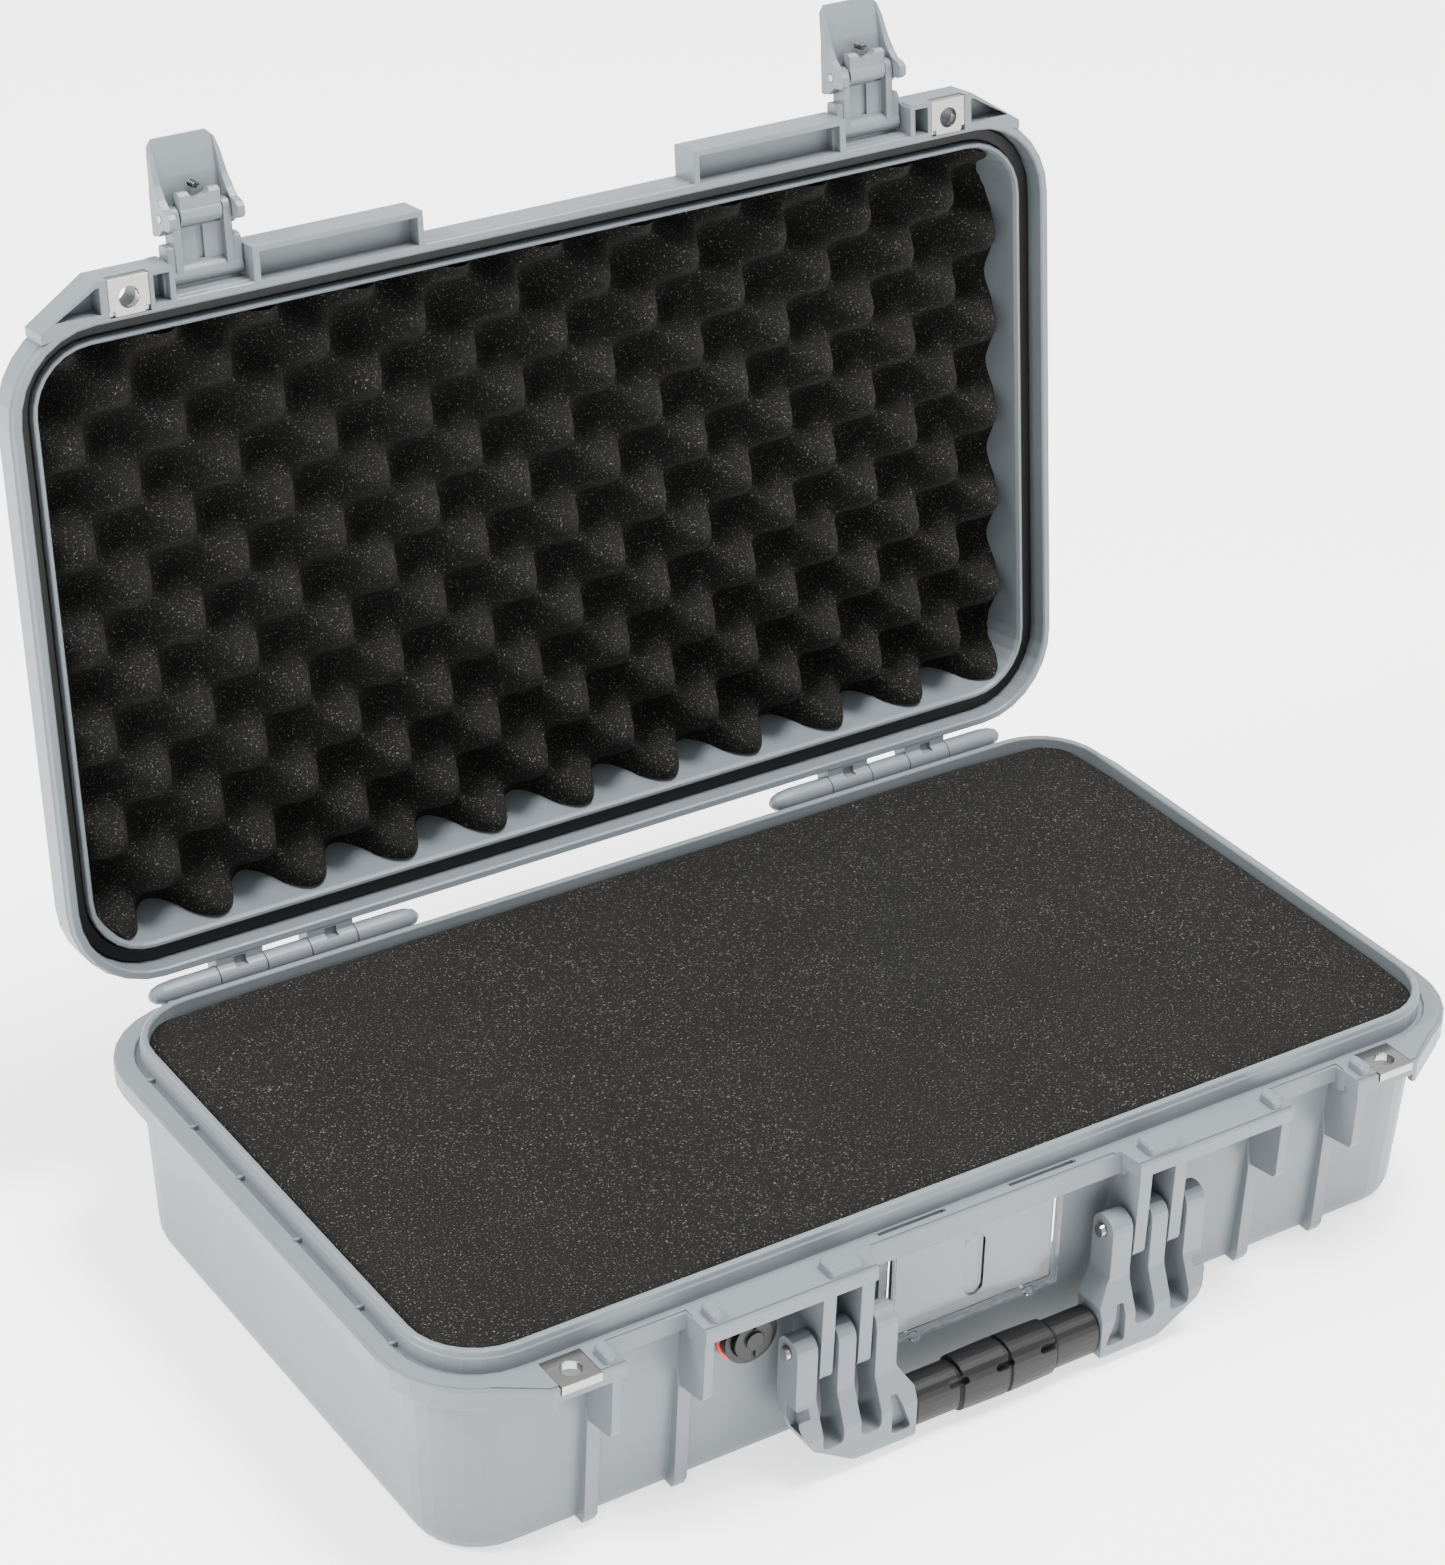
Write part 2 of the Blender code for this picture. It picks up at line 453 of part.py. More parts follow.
seal = [ring(out, z, 7) for out, z in ((0.1, RIDGE_Z + 4.9), (0.1, RIDGE_Z + 1.0), (0.8, RIDGE_Z + 0.5),
                                       (6.0, RIDGE_Z + 0.5), (6.7, RIDGE_Z + 1.0), (6.7, RIDGE_Z + 4.9))]
n = len(seal[0])
faces = [[k * n + i, k * n + (i + 1) % n, (k + 1) % 6 * n + (i + 1) % n, (k + 1) % 6 * n + i]
         for k in range(6) for i in range(n)]
named(solid([p for loop in seal for p in loop], faces), "lid_gasket", SEAL, LID, smooth=40)
foam_slab("lid_foam", -5.6, -11.0, 108.5, LID_TOP - 8.0, parent=LID)
for s, side in SIDES:
    named(padlock_plate(s, -155.3, RIM_Z + 0.1, RIM_Z + 4.1), f"lid_plate_{side}", STEEL, LID, smooth=30)


# ---- latches ----------------------------------------------------------------
def latch(s, side):
    """Drawn hanging shut about P = the lever pivot; d runs down, and y outwards is negative."""
    x, y, z = s * LATCH_X, LINK_Y, LINK_Z - LINK_L
    half = LATCH_W / 2
    link = pivot(f"link_axis_{side}", (x, LINK_Y, LINK_Z), LID, -90)
    lever = pivot(f"lever_axis_{side}", (x, y, z), link)
    button = pivot(f"release_axis_{side}", (x, y, z), lever)

    # Link: hub on the lid, two arms, a web with an upright groove.
    arm = rounded([(y - 4.4, z - 4.4), (y + 4.4, z - 4.4), (y + 4.4, LINK_Z + 4.2), (y - 4.4, LINK_Z + 4.2)],
                  [4.0, 4.0, 4.0, 4.0], 5)
    body = rod(LINK_Y, LINK_Z, 4.7, x - half + 0.2, x + half - 0.2)
    for a, b in ((-14.0, -10.4), (10.4, 14.0)):
        body = join(body, prism(0, arm, x + a, x + b))
    # Outer cheeks stop short of the lever.
    cheek = rounded([(y - 4.2, LINK_Z - 14), (y + 4.0, LINK_Z - 14), (y + 4.0, LINK_Z + 3.9),
                     (y - 4.2, LINK_Z + 3.9)], [2, 2, 4, 4], 4)
    for a, b in ((-half + 0.21, -13.9), (13.9, half - 0.21)):
        body = join(body, prism(0, cheek, x + a, x + b))
    body = join(body, box(x - 11, x + 11, y - 3.2, y + 0.6, z + 5.7, LINK_Z - 1))
    body = cut(body, box(x - 1.6, x + 1.6, y - 1.0, y + 3, z + 6, LINK_Z - 5.2),
               rod(y, z, PIN_R + CLEAR, x - 30, x + 30), rod(LINK_Y, LINK_Z, PIN_R + CLEAR, x - 30, x + 30))
    named(body, f"latch_{side}_link", GREY, link, smooth=32)
    named(rod(LINK_Y, LINK_Z, PIN_R, *sorted((s * (BAY[0] - 3.0), s * (BAY[1] + 2.0)))),
          f"latch_{side}_link_pin", STEEL, LID, smooth=30)

    # Lever: scooped shell and two tapering cheeks that end in hooks.
    shell = [(y - 8.0, z + 9.0), (y - 5.2, z + 9.0), (y - 5.2, z - 8.0), (y - 6.0, z - 15.5),
             (y - 8.0, z - 24.5), (y - 10.6, z - 32.0), (y - 12.8, z - 31.6), (y - 10.4, z - 23.8),
             (y - 8.6, z - 15.0), (y - 8.0, z - 8.0)]
    body = prism(0, shell, x - half, x + half)
    body = cut(body, box(x - 14.39, x + 14.39, y - 9, y, z - 2.3, z + 10))
    hook = [(y - 7.9, z + 8.4), (y - 2.0, z + 8.4), (y + 3.0, z + 4.2), (y + 8.0, z + 4.2), (y + 10.4, z + 2.4),
            (y + 10.4, z - 1.6), (y + 8.6, z - 3.4), (y + 4.2, z - 4.6), (y + 0.8, z - 8.0), (y - 2.8, z - 13.5),
            (y - 6.0, z - 22.4), (y - 10.4, z - 31.4), (y - 12.5, z - 31.0), (y - 10.3, z - 23.8),
            (y - 8.5, z - 15.0), (y - 7.9, z - 8.0)]
    for a, b in ((-half, -14.4), (14.4, half)):
        body = join(body, prism(0, hook, x + a + 0.01, x + b - 0.01))
    # The tip narrows and its corners are rounded.
    for t in (-1, 1):
        wedge = [(x + t * (half + 1), z - 8), (x + t * (half + 0.02), z - 8), (x + t * (half - 1.6), z - 24.6),
                 (x + t * (half - 2.4), z - 28.6), (x + t * (half - 4.8), z - 31.2), (x + t * (half - 8), z - 34),
                 (x + t * (half + 1), z - 34)]
        body = cut(body, prism(1, wedge, y - 30, y + 30))
    body = cut(body, rod(y, z, PIN_R + CLEAR, x - 30, x + 30))
    named(body, f"latch_{side}_lever", GREY, lever, smooth=32)
    named(rod(y, z, PIN_R, x - half - 0.1, x + half + 0.1), f"latch_{side}_lever_pin", STEEL, link, smooth=30)

    # Release: a roller on the pin with a thumb tab that has a D-shaped notch.
    body = join(rod(y, z, 4.9, x - 9.8, x + 9.8),
                prism(0, [(y + 3.6, z + 1.0), (y + 4.4, z - 9.0), (y + 2.6, z - 10.4), (y - 1.0, z - 9.8),
                          (y - 2.6, z - 2.0)], x - 9.79, x + 9.79))
    notch = [(x + 5.2 * math.cos(math.radians(a)), z - 11.2 + 4.6 * math.sin(math.radians(a)))
             for a in range(0, 360, 24)]
    body = cut(body, prism(1, notch, y - 9, y + 9), rod(y, z, PIN_R + CLEAR, x - 30, x + 30))
    named(body, f"latch_{side}_release", PALE, button, smooth=32)

    # Spring in the notch, between the tab and the shell.
    turns, around, wire, coil = 4, 9, 0.4, 1.3
    loops = []
    for k in range(turns * around + 1):
        a = 2 * math.pi * k / around
        c, d = math.cos(a), math.sin(a)
        at = Vector((x + coil * c, y - 4.7 + 6.6 * k / (turns * around), z - 11.9 + coil * d))
        loops.append([tuple(at + wire * (math.cos(b) * Vector((c, 0, d)) + math.sin(b) * Vector((0, 1, 0))))
                      for b in [2 * math.pi * j / 5 for j in range(5)]])
    named(loft(loops), f"latch_{side}_spring", STEEL, lever, smooth=60)


for s, side in SIDES:
    latch(s, side)


# ---- handle -----------------------------------------------------------------
def handle():
    body = box(-GRIP_HALF - 4, GRIP_HALF + 4, GRIP_Y - 4.0, GRIP_Y + 4.0, GRIP_Z - 5, GRIP_Z + 5)
    for s in (-1, 1):
        # Side block: its outline from the front, then from the end.
        front = rounded([(50, 4.2), (80, 4.2), (104, 19.0), (109.0, 31.0), (109.0, 73), (57.5, 73),
                         (57.5, 42), (50, 30.5)], [2, 5, 6, 8, 0, 0, 6, 3])
        front = front if s > 0 else flipped(front)
        block = prism(1, front, -190, -150)
        side = rounded([(HANDLE_Y - 7.4, HANDLE_Z + 7.4), (HANDLE_Y - 7.4, 40), (GRIP_Y - 9.5, 24),
                        (GRIP_Y - 9.5, 3.2), (GRIP_Y + 8.5, 3.2), (GRIP_Y + 8.5, 27), (HANDLE_Y + 7.0, 42),
                        (HANDLE_Y + 7.0, HANDLE_Z + 7.4)], [7.0, 4, 4, 4, 4, 5, 4, 6.6], 4)
        slab = prism(0, side, *sorted((s * 49.9, s * 109.1)))
        block = combine(block, [slab], "INTERSECT")
        for a, b, z in ((68.4, 79.1, 17), (87.9, 98.6, 17)):
            gap = rounded([(s * a, z), (s * b, z), (s * b, 90), (s * a, 90)], [3, 3, 0, 0], 3)
            block = cut(block, prism(1, gap, -200, -140))
        # Triangular pocket beside the grip, on the front face.
        pocket = rounded([(s * 52.5, 11), (s * 63, 11), (s * 63, 30), (s * 59.5, 30)], [1.5, 1.5, 1, 1], 2)
        block = cut(block, prism(1, pocket, -200, GRIP_Y - 5.0),
                    box(*sorted((s * 103.0, s * 112.0)), GRIP_Y - 5.6, GRIP_Y + 4.6, 24.5, 38))
        body = join(body, block)
        body = cut(body, rod(HANDLE_Y, HANDLE_Z, 2.2 + CLEAR, *sorted((s * 40, s * 120))))
    named(body, "handle_frame", GREY, HANDLE, smooth=32)

    # Rubber sleeve: two raised bands in the middle, with grooves between.
    rows = [(-49.4, 0.90), (-48.6, 0.98), (-26.6, 0.98), (-26.0, 0.93), (-25.2, 0.93), (-24.6, 1.10),
            (-1.2, 1.14), (-0.6, 1.02), (0.6, 1.02), (1.2, 1.14), (24.6, 1.10), (25.2, 0.93), (26.0, 0.93),
            (26.6, 0.98), (48.6, 0.98), (49.4, 0.90)]
    loops = []
    for x, k in rows:
        loop = []
        for i in range(28):
            a = 2 * math.pi * i / 28
            c, d = math.cos(a), math.sin(a)
            q = (abs(c) ** 2.6 + abs(d) ** 2.6) ** (-1 / 2.6)
            loop.append((x, GRIP_Y + 9.3 * k * q * c, GRIP_Z + 11.4 * k * q * d))
        loops.append(loop)
    body = cut(loft(loops), box(-60, 60, GRIP_Y - 4.3, GRIP_Y + 4.3, GRIP_Z - 5.3, GRIP_Z + 5.3))
    # Small oval recesses over the seams between the bands.
    for x in (-27.0, -3.0, 21.0):
        oval = [(x + (2.6 if math.cos(a) > 0 else -2.6) + 2.3 * math.cos(a), GRIP_Z + 7.0 + 1.9 * math.sin(a))
                for a in [math.radians(15 + 30 * k) for k in range(12)]]
        body = cut(body, prism(1, oval, -200, GRIP_Y - 7.0))
    named(body, "handle_grip", SEAL, HANDLE, smooth=32)


handle()
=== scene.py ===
"""Looks for the hard carry case: materials, foams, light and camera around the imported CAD."""
import json
import math

import bmesh
import bpy
import numpy as np
from mathutils import Matrix, Vector, noise


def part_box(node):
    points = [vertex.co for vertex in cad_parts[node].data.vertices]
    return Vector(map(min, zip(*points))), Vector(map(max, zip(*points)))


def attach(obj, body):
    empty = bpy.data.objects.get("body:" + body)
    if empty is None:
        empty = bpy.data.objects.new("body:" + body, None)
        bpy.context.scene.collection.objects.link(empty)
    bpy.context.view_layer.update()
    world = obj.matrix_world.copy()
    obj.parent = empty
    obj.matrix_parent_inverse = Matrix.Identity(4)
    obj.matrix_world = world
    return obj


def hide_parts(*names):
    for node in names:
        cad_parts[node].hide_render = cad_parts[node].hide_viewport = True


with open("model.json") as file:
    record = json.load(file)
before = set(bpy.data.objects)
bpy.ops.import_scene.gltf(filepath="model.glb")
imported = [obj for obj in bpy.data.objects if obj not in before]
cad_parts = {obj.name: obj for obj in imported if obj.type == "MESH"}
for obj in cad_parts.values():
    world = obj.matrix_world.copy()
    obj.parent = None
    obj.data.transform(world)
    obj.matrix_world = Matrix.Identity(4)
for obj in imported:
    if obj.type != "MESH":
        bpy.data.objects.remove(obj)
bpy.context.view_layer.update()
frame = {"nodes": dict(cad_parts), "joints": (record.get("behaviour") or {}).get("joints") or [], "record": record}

MM = 0.001
CREASE_DEG = 50  # foam faces that meet more sharply than this stay a crease
LID_FOAM_STEP = 1.9 * MM
EGG_PITCH_X, EGG_PITCH_Y, EGG_DEPTH = 49.0 * MM, 46.5 * MM, 31.0 * MM
NOISE_SLICE = 0.37
FLOOR_HALF = 60.0
SHADER = "Principled BSDF"
NODES = frame["nodes"]
JOINTS = {joint["name"]: joint for joint in frame["joints"]}
HINGE = JOINTS["lid_hinge"]
# Points drawn with the lid shut reach their place at rest through OPENED.
AXIS = Vector(HINGE["pos_m"])
OPENED = (Matrix.Translation(AXIS) @ Matrix.Rotation(-math.radians(HINGE["range_deg"][1]), 4, "X")
          @ Matrix.Translation(-AXIS))


# ---- meshes -----------------------------------------------------------------
def piece(name, points, faces, look, body, turn=None):
    """A new smooth object that rides on a CAD body, `turn` applied to its points."""
    mesh = bpy.data.meshes.new(name)
    mesh.from_pydata([tuple(p) for p in points], [], faces)
    work = bmesh.new()
    work.from_mesh(mesh)
    bmesh.ops.recalc_face_normals(work, faces=work.faces)
    work.to_mesh(mesh)
    work.free()
    if turn:
        mesh.transform(turn)
    made = bpy.data.objects.new(name, mesh)
    bpy.context.scene.collection.objects.link(made)
    mesh.shade_smooth()
    mesh.materials.append(look)
    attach(made, body)
    return made


def shut_box(node):
    """Lowest and highest corner of a lid node with the lid shut."""
    back = OPENED.inverted()
    points = np.array([back @ v.co for v in NODES[node].data.vertices])
    return Vector(points.min(0)), Vector(points.max(0))


def slab_grid(low, high, radius, step):
    """Rows of (x, y) that fill a rectangle with round corners, its outline outermost."""
    centre = (low + high) / 2
    half = (high - low) / 2
    nx = max(8, round(2 * half.x / step))
    ny = max(8, round(2 * half.y / step))
    rows = []
    for j in range(ny + 1):
        row = []
        for i in range(nx + 1):
            x = half.x * (2 * i / nx - 1)
            y = half.y * (2 * j / ny - 1)
            a, b = abs(x) - (half.x - radius), abs(y) - (half.y - radius)
            if a > 0 and b > 0:
                far, length = max(a, b), math.hypot(a, b)
                a, b = a * far / length, b * far / length
                x = math.copysign(half.x - radius + a, x)
                y = math.copysign(half.y - radius + b, y)
            row.append((centre.x + x, centre.y + y))
        rows.append(row)
    return rows


def border(nx, ny):
    """Grid indices round the outside, in order."""
    across = nx + 1
    return (list(range(nx)) + [j * across + nx for j in range(ny)]
            + [ny * across + i for i in range(nx, 0, -1)]
            + [j * across for j in range(ny, 0, -1)])


def foam_block(name, node, radius, step, face, skirt, body, turn=None, box=None):
    """A closed foam body: `face(x, y, edge)` gives the height of its shaped side.

    Each (inset, height) of `skirt` is one ring further down its wall, and the last is capped.
    """
    low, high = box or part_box(node)
    rows = slab_grid(low, high, radius, step)
    ny, nx = len(rows) - 1, len(rows[0]) - 1
    across = nx + 1
    points = []
    for row in rows:
        for x, y in row:
            edge = min(x - low.x, high.x - x, y - low.y, high.y - y)
            points.append(Vector((x, y, face(x, y, edge))))
    faces = [[start, start + 1, start + across + 1, start + across]
             for start in (j * across + i for j in range(ny) for i in range(nx))]
    loop = border(nx, ny)
    centre = (low + high) / 2
    last = loop
    for inset, z in skirt:
        shrink = Vector((1 - inset / (high.x - centre.x), 1 - inset / (high.y - centre.y)))
        new = []
        for index in loop:
            p = points[index]
            away = Vector((p.x - centre.x, p.y - centre.y))
            height = z(p.z) if callable(z) else z
            new.append(len(points))
            points.append(Vector((centre.x + away.x * shrink.x, centre.y + away.y * shrink.y,
                                  height)))
        n = len(loop)
        faces += [[last[k], last[(k + 1) % n], new[(k + 1) % n], new[k]] for k in range(n)]
        last = new
    faces.append(last)
    made = piece(name, points, faces, FOAM, body, turn=turn)
    made.data.set_sharp_from_angle(angle=math.radians(CREASE_DEG))
    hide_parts(node)
    return made


# ---- materials --------------------------------------------------------------
def new_material(name):
    """A material, with its nodes, its links and its main shader."""
    made = bpy.data.materials.new(name)
    made.use_nodes = True
    tree = made.node_tree
    return made, tree.nodes, tree.links, tree.nodes[SHADER]


def add(nodes, kind, **values):
    """A shader node; each value is one of its settings or, failing that, one of its inputs."""
    node = nodes.new(kind)
    for key, value in values.items():
        if hasattr(node, key):
            setattr(node, key, value)
        else:
            node.inputs[key.replace("_", " ")].default_value = value
    return node


def two_tone(nodes, first, second, start=0.0, end=1.0):
    """A colour ramp from one colour to another."""
    ramp = add(nodes, "ShaderNodeValToRGB")
    for element, place, colour in zip(ramp.color_ramp.elements, (start, end), (first, second)):
        element.position, element.color = place, colour
    return ramp


def plastic(name, colour, rough, grain=2600.0, depth=0.06, round_mm=0.7, vary=0.05):
    """Moulded plastic: faint blotches in the colour, a fine grain and soft arrises."""
    made, nodes, links, shader = new_material(name)
    where = add(nodes, "ShaderNodeTexCoord")
    blotch = add(nodes, "ShaderNodeTexNoise", Scale=22.0, Detail=4.0, Roughness=0.6)
    links.new(where.outputs["Object"], blotch.inputs["Vector"])
    ramp = two_tone(nodes, (*[c * (1 - vary) for c in colour], 1),
                    (*[min(1, c * (1 + vary)) for c in colour], 1), 0.3, 0.7)
    links.new(blotch.outputs["Fac"], ramp.inputs["Fac"])
    links.new(ramp.outputs["Color"], shader.inputs["Base Color"])
    fine = add(nodes, "ShaderNodeTexNoise", Scale=grain, Detail=2.0, Roughness=0.5)
    links.new(where.outputs["Object"], fine.inputs["Vector"])
    gloss = add(nodes, "ShaderNodeMapRange", From_Min=0.3, From_Max=0.7,
                To_Min=rough - 0.05, To_Max=rough + 0.07)
    links.new(fine.outputs["Fac"], gloss.inputs["Value"])
    links.new(gloss.outputs["Result"], shader.inputs["Roughness"])
    soft = add(nodes, "ShaderNodeBevel", Radius=round_mm * MM)
    soft.samples = 6
    bump = add(nodes, "ShaderNodeBump", Strength=depth, Distance=0.0002)
    links.new(fine.outputs["Fac"], bump.inputs["Height"])
    links.new(soft.outputs["Normal"], bump.inputs["Normal"])
    links.new(bump.outputs["Normal"], shader.inputs["Normal"])
    return made


def foam(name, colour, speck, cell):
    """Open-cell foam: dark cells with pale struts catching the light."""
    made, nodes, links, shader = new_material(name)
    shader.inputs["Roughness"].default_value = 0.95
    shader.inputs["Specular IOR Level"].default_value = 0.15
    where = add(nodes, "ShaderNodeTexCoord")
    cells = add(nodes, "ShaderNodeTexVoronoi", Scale=cell, Randomness=1.0)
    coarse = add(nodes, "ShaderNodeTexNoise", Scale=cell * 1.25, Detail=2.0, Roughness=0.75)
    broad = add(nodes, "ShaderNodeTexNoise", Scale=26.0, Detail=2.0)
    for node in (cells, coarse, broad):
        links.new(where.outputs["Object"], node.inputs["Vector"])
    struts = two_tone(nodes, (*colour, 1), (*speck, 1), 0.60, 0.80)
    links.new(coarse.outputs["Fac"], struts.inputs["Fac"])
    shade = add(nodes, "ShaderNodeMapRange", From_Min=0.35, From_Max=0.65,
                To_Min=0.93, To_Max=1.05)
    links.new(broad.outputs["Fac"], shade.inputs["Value"])
    mixed = add(nodes, "ShaderNodeMix", data_type="RGBA", blend_type="MULTIPLY")
    mixed.inputs["Factor"].default_value = 1.0
    links.new(struts.outputs["Color"], mixed.inputs[6])
    links.new(shade.outputs["Result"], mixed.inputs[7])
    links.new(mixed.outputs[2], shader.inputs["Base Color"])
    bump = add(nodes, "ShaderNodeBump", Strength=0.55, Distance=0.0006)
    links.new(cells.outputs["Distance"], bump.inputs["Height"])
    links.new(bump.outputs["Normal"], shader.inputs["Normal"])
    return made


def steel(name, dark, bright):
    """Steel brushed along X: streaks in its colour and its gloss."""
    made, nodes, links, shader = new_material(name)
    shader.inputs["Metallic"].default_value = 1.0
    where = add(nodes, "ShaderNodeTexCoord")
    stretch = add(nodes, "ShaderNodeMapping")
    stretch.inputs["Scale"].default_value = (60.0, 2400.0, 2400.0)
    links.new(where.outputs["Object"], stretch.inputs["Vector"])
    lines = add(nodes, "ShaderNodeTexNoise", Scale=1.0, Detail=3.0)
    links.new(stretch.outputs["Vector"], lines.inputs["Vector"])
    tint = two_tone(nodes, dark, bright)
    links.new(lines.outputs["Fac"], tint.inputs["Fac"])
    links.new(tint.outputs["Color"], shader.inputs["Base Color"])
    gloss = add(nodes, "ShaderNodeMapRange", To_Min=0.12, To_Max=0.26)
    links.new(lines.outputs["Fac"], gloss.inputs["Value"])
    links.new(gloss.outputs["Result"], shader.inputs["Roughness"])
    soft = add(nodes, "ShaderNodeBevel", Radius=0.3 * MM)
    links.new(soft.outputs["Normal"], shader.inputs["Normal"])
    return made


def clear(name):
    """Thin clear moulding, almost smooth, with a slight tint that varies."""
    made, nodes, links, shader = new_material(name)
    shader.inputs["Transmission Weight"].default_value = 1.0
    shader.inputs["IOR"].default_value = 1.25
    where = add(nodes, "ShaderNodeTexCoord")
    film = add(nodes, "ShaderNodeTexNoise", Scale=18.0, Detail=2.0)
    links.new(where.outputs["Object"], film.inputs["Vector"])
    tint = two_tone(nodes, (0.93, 0.95, 0.96, 1), (0.99, 0.99, 1, 1))
    links.new(film.outputs["Fac"], tint.inputs["Fac"])
    links.new(tint.outputs["Color"], shader.inputs["Base Color"])
    gloss = add(nodes, "ShaderNodeMapRange", To_Min=0.02, To_Max=0.05)
    links.new(film.outputs["Fac"], gloss.inputs["Value"])
    links.new(gloss.outputs["Result"], shader.inputs["Roughness"])
    return made


GREY = plastic("moulded_grey", (0.125, 0.142, 0.154), 0.42, round_mm=0.5)
PALE = plastic("moulded_pale_grey", (0.145, 0.161, 0.172), 0.42, round_mm=0.5)
BLACK = plastic("moulded_black", (0.007, 0.007, 0.0075), 0.38, grain=1800.0)
RED = plastic("moulded_red", (0.62, 0.02, 0.02), 0.4)
RUBBER = plastic("soft_rubber", (0.0035, 0.0035, 0.0038), 0.46,
                 grain=1500.0, depth=0.12, vary=0.12)
SEAL = plastic("seal_rubber", (0.0015, 0.0015, 0.0017), 0.5, grain=1500.0, depth=0.1, vary=0.12)
CARD = plastic("card_stock", (0.235, 0.242, 0.248), 0.75, grain=1200.0, round_mm=0.2)
STEEL = steel("brushed_steel", (0.25, 0.245, 0.235, 1), (0.40, 0.39, 0.38, 1))
DULL = steel("dull_steel", (0.04, 0.04, 0.04, 1), (0.09, 0.09, 0.088, 1))
CLEAR = clear("clear_moulding")
for look in (BLACK, RUBBER, SEAL):
    look.node_tree.nodes[SHADER].inputs["Specular IOR Level"].default_value = 0.28
FOAM = foam("charcoal_foam", (0.0056, 0.0054, 0.0050), (0.20, 0.19, 0.165), cell=820.0)

LOOKS = {"grey_polymer": GREY, "pale_grey_polymer": PALE, "steel": STEEL, "black_rubber": RUBBER,
         "black_polymer": BLACK, "red_polymer": RED, "clear_plastic": CLEAR, "card_stock": CARD,
         "black_foam": FOAM}
# Nodes whose look is not the one of their slot.
OWN_LOOKS = {"lid_gasket": SEAL, "latch_left_spring": DULL, "latch_right_spring": DULL}
for part in frame["record"]["subparts"]:
    mesh = NODES[part["node"]].data
    mesh.materials.clear()
    mesh.materials.append(OWN_LOOKS.get(part["node"], LOOKS[part["material_slot"]]))


# ---- foam -------------------------------------------------------------------
def wobble(x, y, size, scale):
    """Slight unevenness: up to about `size` either way."""
    return size * noise.noise(Vector((x * scale, y * scale, NOISE_SLICE)))


def lid_foam():
    """Egg-crate foam: staggered rows of rounded peaks."""
    low, high = shut_box("lid_foam")
    peak, valley = low.z, low.z + EGG_DEPTH
    first_x, first_y = low.x + 12 * MM, high.y - 3 * MM
    step = LID_FOAM_STEP

    def face(x, y, edge):
        wave = (math.cos(2 * math.pi * (x - first_x) / EGG_PITCH_X)
                * math.cos(2 * math.pi * (first_y - y) / EGG_PITCH_Y))
        lift = 0.5 + 0.5 * math.copysign(abs(wave) ** 0.8, wave)
        return valley - (valley - peak - 0.4 * MM) * lift + wobble(x, y, 0.5 * MM, 30)

    foam_block("lid_foam_egg_crate", "lid_foam", 24 * MM, step, face,
               [(0.3 * MM, lambda z: z + 1.2 * MM), (3.0 * MM, high.z)], "lid",
               turn=OPENED, box=(low, high))


def base_foams():
    """Three sheets; the top one has a rolled edge, and corners that sag a little."""
    low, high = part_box("foam_top_pad")

    def top(x, y, edge):
        roll = max(0.0, 1 - edge / (6 * MM))
        corner = (max(0.0, abs(x) - 200 * MM) / (60 * MM)
                  * max(0.0, abs(y) - 100 * MM) / (45 * MM))
        sag = 0.3 * MM + 2.6 * MM * roll ** 2.2 + 2.5 * MM * corner
        return high.z - sag + wobble(x, y, 0.4 * MM, 12)

    foam_block("foam_top_sheet", "foam_top_pad", 29 * MM, 3.0 * MM, top,
               [(0.0, lambda z: z - 2 * MM), (0.6 * MM, low.z)], "base")
    for node, name in (("foam_pick_block", "foam_pick_sheet"),
                       ("foam_floor_pad", "foam_floor_sheet")):
        below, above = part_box(node)

        def under(x, y, edge, height=above.z):
            return height - 0.2 * MM - 0.8 * MM * max(0.0, 1 - edge / (5 * MM))

        foam_block(name, node, 26 * MM, 12.0 * MM, under, [(2.4 * MM, below.z)], "base")


lid_foam()
base_foams()


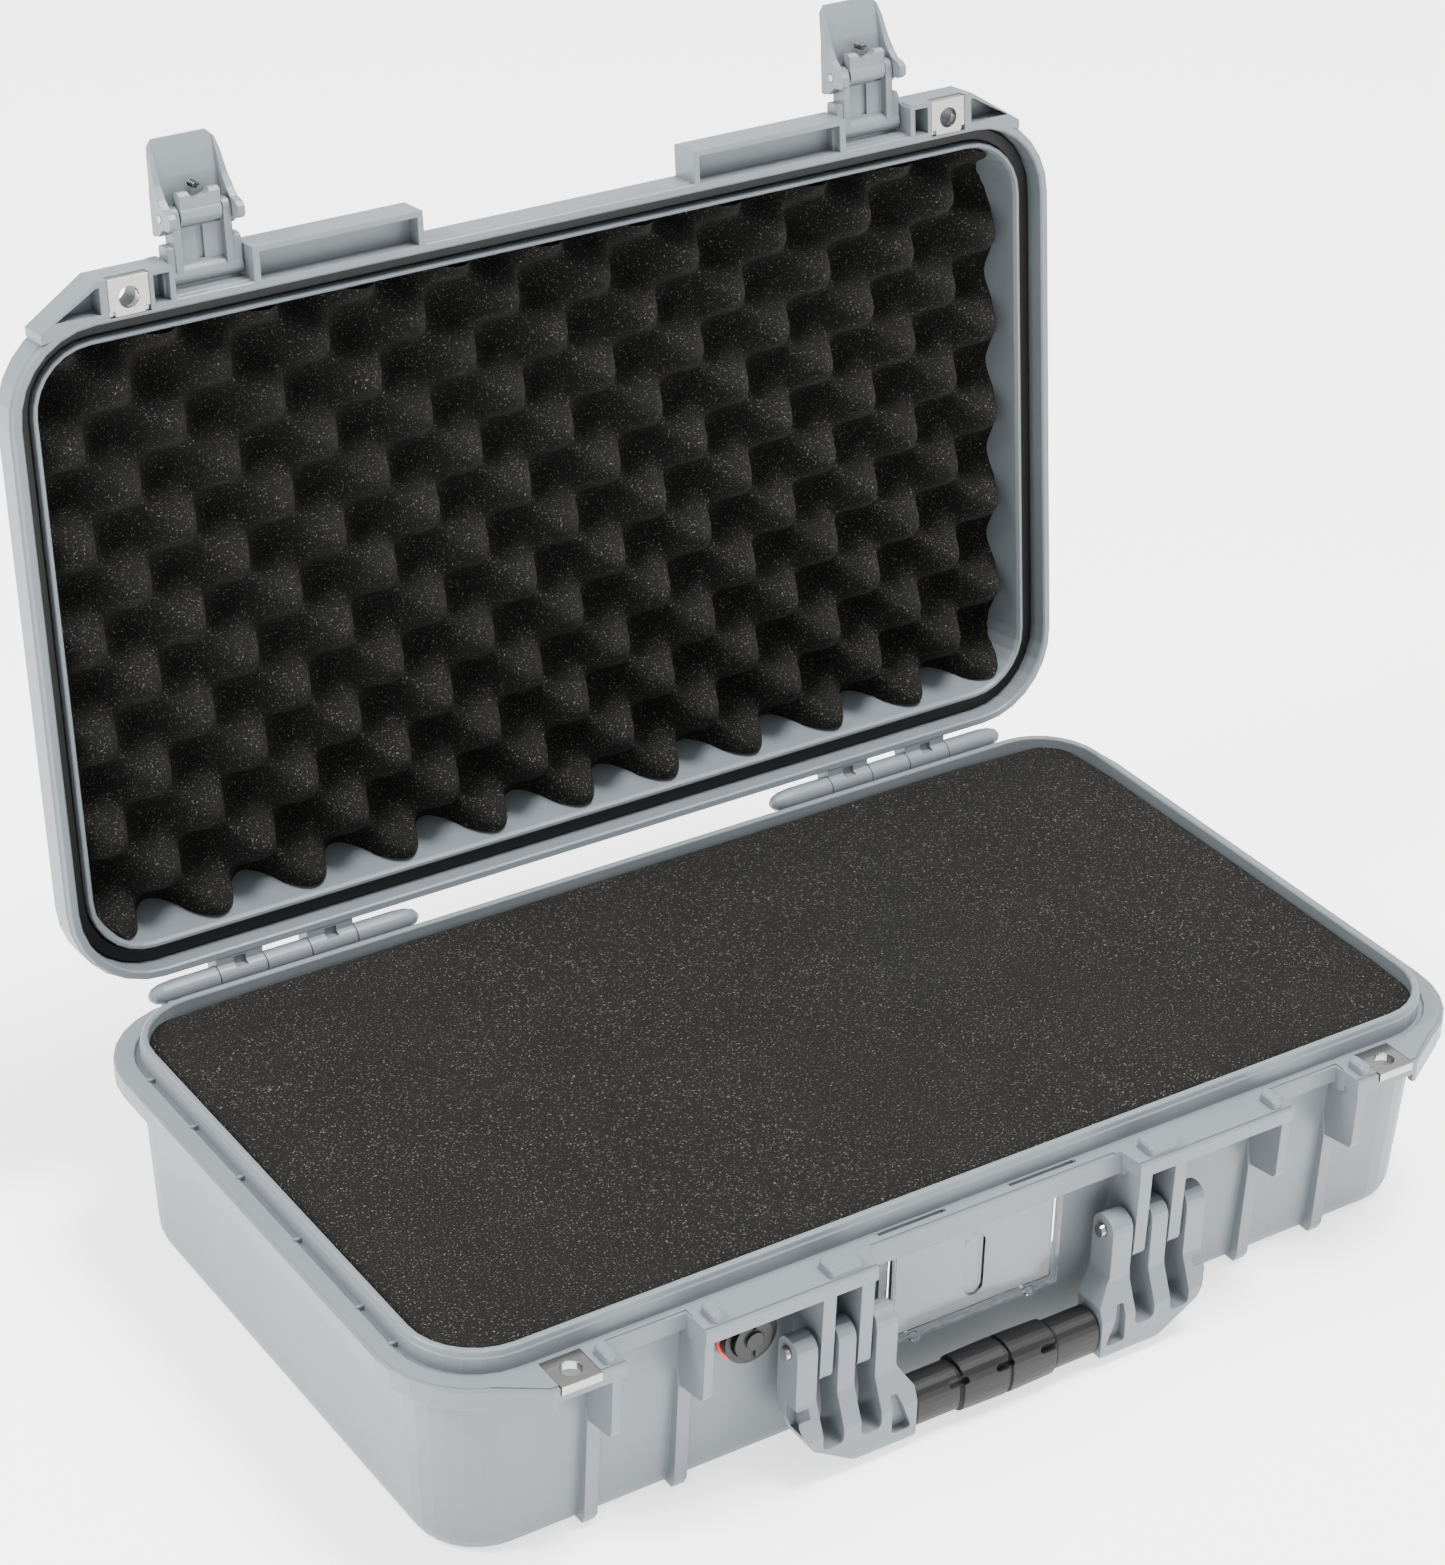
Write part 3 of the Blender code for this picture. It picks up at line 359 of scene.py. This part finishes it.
# ---- stage ------------------------------------------------------------------
def stage():
    """A white floor, and a sky that is bright round the horizon."""
    mesh = bpy.data.meshes.new("floor")
    mesh.from_pydata([(FLOOR_HALF * x, FLOOR_HALF * y, 0)
                      for x, y in ((-1, -1), (1, -1), (1, 1), (-1, 1))], [], [[0, 1, 2, 3]])
    floor = bpy.data.objects.new("floor", mesh)
    bpy.context.scene.collection.objects.link(floor)
    white, _, _, shader = new_material("floor_white")
    shader.inputs["Base Color"].default_value = (0.95, 0.95, 0.95, 1)
    shader.inputs["Roughness"].default_value = 0.9
    shader.inputs["Emission Color"].default_value = (1, 1, 1, 1)
    shader.inputs["Emission Strength"].default_value = 1.5
    mesh.materials.append(white)

    world = bpy.data.worlds.new("studio")
    world.use_nodes = True
    nodes, links = world.node_tree.nodes, world.node_tree.links
    where = nodes.new("ShaderNodeTexCoord")
    split = nodes.new("ShaderNodeSeparateXYZ")
    sky = nodes.new("ShaderNodeValToRGB")
    # Bright round the horizon, dark overhead, as under a studio ceiling.
    stops = [*sky.color_ramp.elements, sky.color_ramp.elements.new(0.5)]
    for element, (place, grey) in zip(stops, ((0.0, 1.0), (0.95, 0.05), (0.42, 0.9))):
        element.position, element.color = place, (grey * 0.97, grey * 0.985, grey, 1)
    links.new(where.outputs["Generated"], split.inputs["Vector"])
    links.new(split.outputs["Z"], sky.inputs["Fac"])
    links.new(sky.outputs["Color"], nodes["Background"].inputs["Color"])
    nodes["Background"].inputs["Strength"].default_value = 1.5
    bpy.context.scene.world = world


def softbox(name, place, aim, size, power):
    """A round area light that faces a point."""
    light = bpy.data.lights.new(name, "AREA")
    light.shape, light.size, light.energy = "DISK", size, power
    lamp = bpy.data.objects.new(name, light)
    bpy.context.scene.collection.objects.link(lamp)
    lamp.location = place
    lamp.rotation_euler = (Vector(aim) - Vector(place)).to_track_quat("-Z", "Y").to_euler()


stage()
softbox("key", (-2.3, 0.5, 2.2), (0, 0, 0.15), 0.9, 120)
softbox("top", (0.6, -0.4, 3.0), (0, 0, 0.1), 1.2, 200)
softbox("fill", (1.8, -2.6, 1.2), (0, 0, 0.2), 2.0, 12)

camera = bpy.data.cameras.new("camera")
camera.sensor_fit, camera.sensor_width, camera.lens = "AUTO", 36.0, 93.58
camera.clip_end = 60
viewer = bpy.data.objects.new("camera", camera)
bpy.context.scene.collection.objects.link(viewer)
viewer.location = (-0.8907, -1.2704, 1.1241)
viewer.rotation_euler = [math.radians(a) for a in (59.909, -1.322, -33.040)]
bpy.context.scene.camera = viewer
